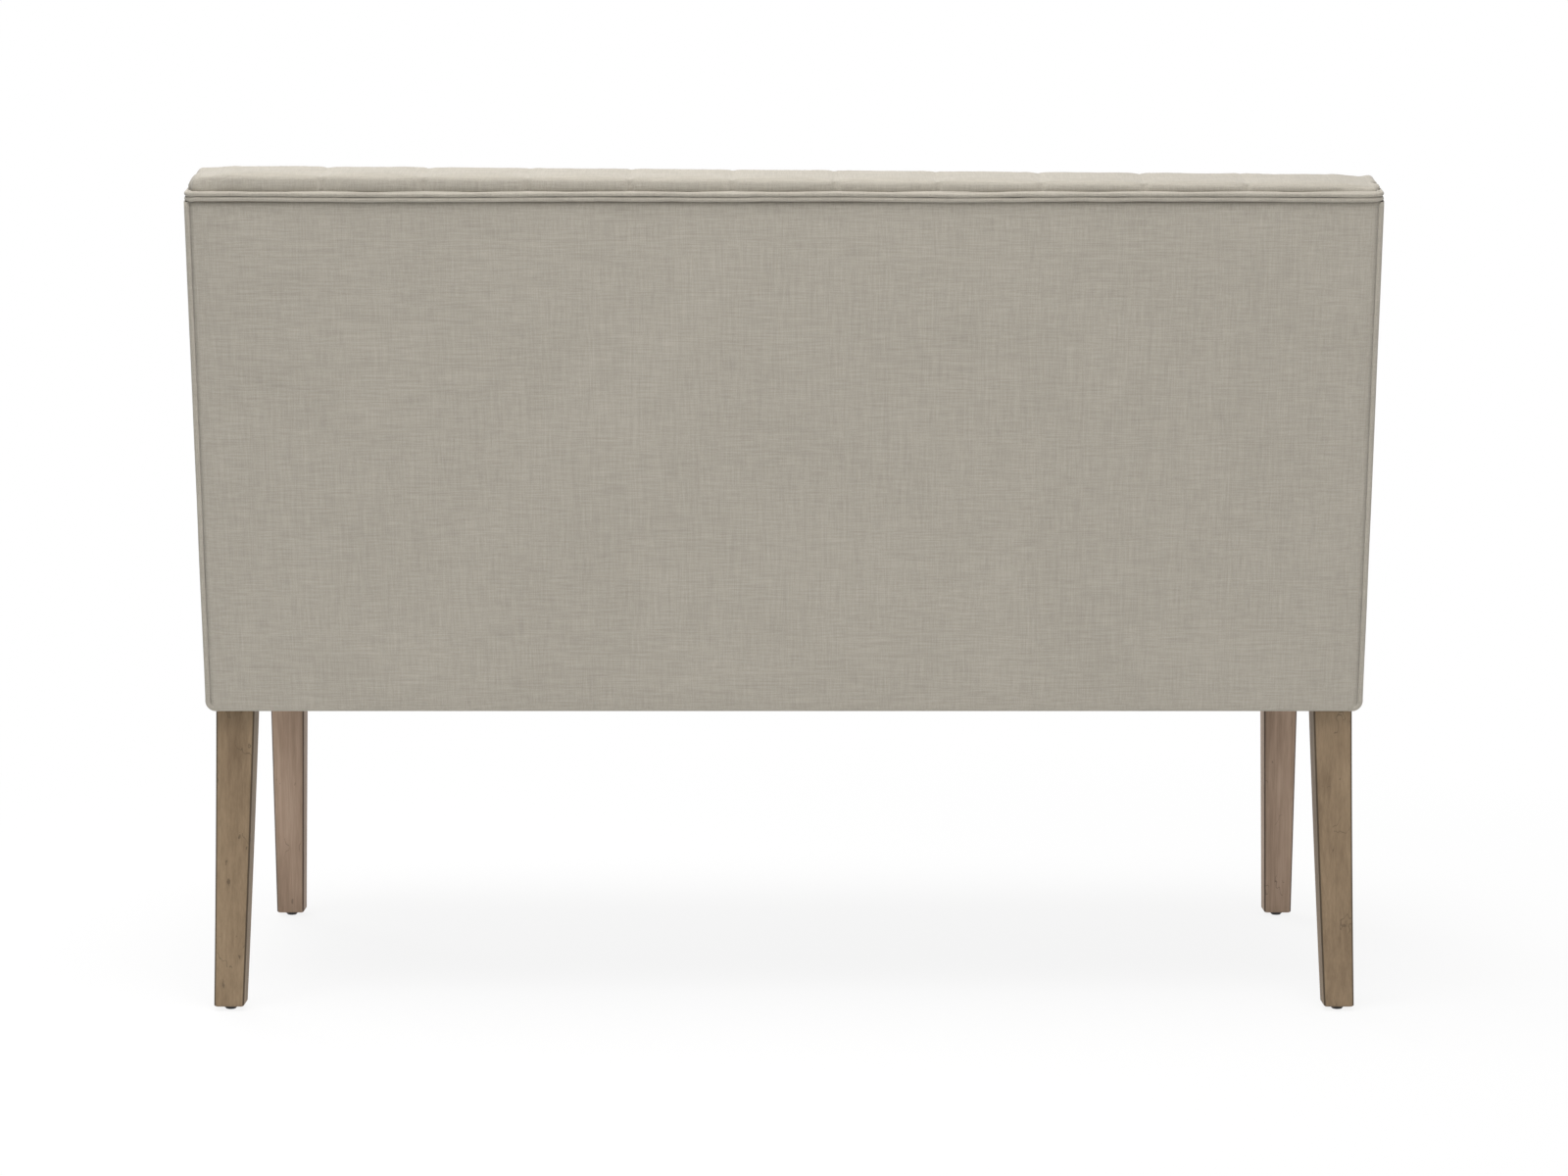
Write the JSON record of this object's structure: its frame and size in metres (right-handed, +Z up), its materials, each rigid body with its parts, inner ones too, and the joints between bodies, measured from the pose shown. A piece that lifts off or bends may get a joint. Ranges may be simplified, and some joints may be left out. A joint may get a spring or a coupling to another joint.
{
  "type": "upholstered dining bench",
  "caption": "High-backed upholstered bench with a button-tufted inside back, plain outside back edged by a double welt, and bolt-on wooden legs.",
  "frame": {"origin": "floor level, under the centre of the bounding box", "axes": "+X to the right seen from the front, +Y towards the back, +Z up"},
  "size_m": [1.32, 0.668, 0.953],
  "materials": {
    "cover_fabric": "plain linen-look weave, matt",
    "foam": "open-cell foam, matt",
    "batting": "fibre wadding, matt",
    "webbing": "woven strap",
    "lining": "non-woven cloth",
    "twine": "waxed cord",
    "card": "pressed card",
    "leg_oak": "weathered oak stain, satin",
    "frame_beech": "planed, bare",
    "plywood": "bare ply",
    "steel": "zinc plated",
    "glide_plastic": "moulded, black"
  },
  "bodies": {
    "root": {"back_buttons": "cover_fabric", "back_foam": "foam", "back_lower_rail": "frame_beech", "back_top_rail": "frame_beech", "button_ties": "twine", "corner_block_screws": "steel", "double_welt": "cover_fabric", "dust_cover": "lining", "frame_loose_tenons": "frame_beech", "front_left_corner_block": "frame_beech", "front_left_corner_post": "frame_beech", "front_left_leg": "leg_oak", "front_rail": "frame_beech", "front_right_corner_block": "frame_beech", "front_right_corner_post": "frame_beech", "front_right_leg": "leg_oak", "glide_nails": "steel", "inside_back_cover": "cover_fabric", "left_back_post": "frame_beech", "left_back_stile": "frame_beech", "left_cross_rail": "frame_beech", "left_side_padding": "batting", "left_side_panel": "cover_fabric", "left_side_rail": "frame_beech", "leg_glides": "glide_plastic", "leg_hanger_bolts": "steel", "leg_locating_dowels": "frame_beech", "leg_thread_inserts": "steel", "outside_back_batting": "batting", "outside_back_card": "card", "outside_back_panel": "cover_fabric", "rear_left_corner_block": "frame_beech", "rear_left_leg": "leg_oak", "rear_rail": "frame_beech", "rear_right_corner_block": "frame_beech", "rear_right_leg": "leg_oak", "right_back_post": "frame_beech", "right_back_stile": "frame_beech", "right_cross_rail": "frame_beech", "right_side_padding": "batting", "right_side_panel": "cover_fabric", "right_side_rail": "frame_beech", "seat_cover": "cover_fabric", "seat_cross_webbing": "webbing", "seat_edge_padding": "batting", "seat_foam": "foam", "seat_long_webbing": "webbing", "tufting_board": "plywood"}
  },
  "joints": []
}
